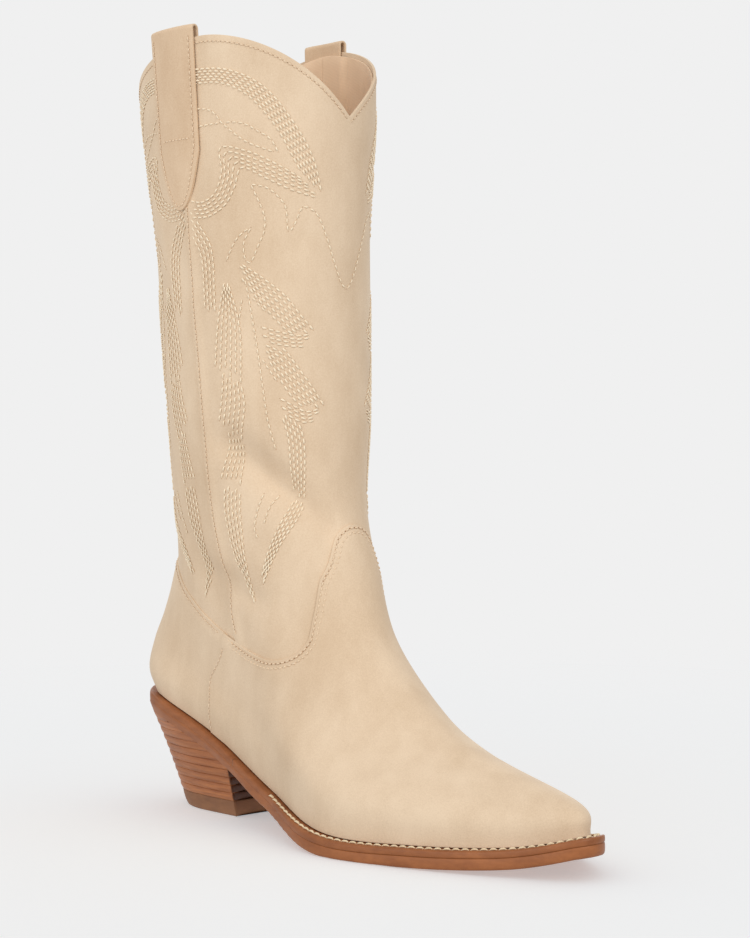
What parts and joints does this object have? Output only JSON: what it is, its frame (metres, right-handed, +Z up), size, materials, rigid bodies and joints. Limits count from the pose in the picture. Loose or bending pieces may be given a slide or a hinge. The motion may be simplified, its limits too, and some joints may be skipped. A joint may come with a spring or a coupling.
{
  "type": "cowboy boot",
  "caption": "Pull-on western boot with pointed toe, embroidered suede shaft with V-cut top, pull straps, welted sole and slanted stacked heel.",
  "frame": {"origin": "middle of the boot's bounding box, on the floor", "axes": "+X towards the toe, +Y towards the inner side of the leg, +Z up the shaft"},
  "size_m": [0.298, 0.106, 0.3912],
  "materials": {
    "suede": "napped suede, matte",
    "strap_suede": "napped suede, matte",
    "lining": "woven, matte",
    "sock": "smooth, satin",
    "fibreboard": "matte",
    "cork": "granular, matte",
    "steel": "plain",
    "brass": "plain",
    "welt_leather": "waxed, satin",
    "sole_leather": "waxed edge, satin",
    "stacked_leather": "stained, satin",
    "top_lift_rubber": "matte"
  },
  "bodies": {
    "boot": {"counter": "suede", "forefoot_filler": "cork", "heel_lift_1": "stacked_leather", "heel_lift_2": "stacked_leather", "heel_lift_3": "stacked_leather", "heel_lift_4": "stacked_leather", "heel_lift_5": "stacked_leather", "heel_lift_6": "stacked_leather", "heel_lift_7": "stacked_leather", "heel_lift_8": "stacked_leather", "heel_lift_9": "stacked_leather", "heel_lining": "lining", "heel_nail_1": "brass", "heel_nail_2": "brass", "heel_nail_3": "brass", "heel_nail_4": "brass", "heel_rand": "welt_leather", "heel_screw": "steel", "heel_seat_lift": "stacked_leather", "heel_stiffener": "fibreboard", "inner_strap_end": "strap_suede", "inner_strap_tail": "strap_suede", "insole_board": "fibreboard", "outer_strap_end": "strap_suede", "outer_strap_tail": "strap_suede", "outsole": "sole_leather", "seat_filler": "fibreboard", "shaft_back_lining": "lining", "shaft_back_panel": "suede", "shaft_front_lining": "lining", "shaft_front_panel": "suede", "shank": "steel", "sock_lining": "sock", "toe_puff": "fibreboard", "top_lift": "top_lift_rubber", "vamp": "suede", "vamp_lining": "lining", "welt": "welt_leather"},
    "outer_loop": {"outer_strap_loop": "strap_suede"},
    "inner_loop": {"inner_strap_loop": "strap_suede"}
  },
  "joints": [
    {"name": "outer_loop_fold", "type": "hinge", "parent": "boot", "child": "outer_loop", "pos_m": [-0.08329, -0.0468, 0.381], "axis": [1, 0, 0], "range_deg": [-20, 25], "stiffness_Nm_per_rad": 0.004},
    {"name": "inner_loop_fold", "type": "hinge", "parent": "boot", "child": "inner_loop", "pos_m": [-0.08142, 0.0501, 0.3852], "axis": [-1, 0, 0], "range_deg": [-20, 25], "stiffness_Nm_per_rad": 0.004}
  ]
}
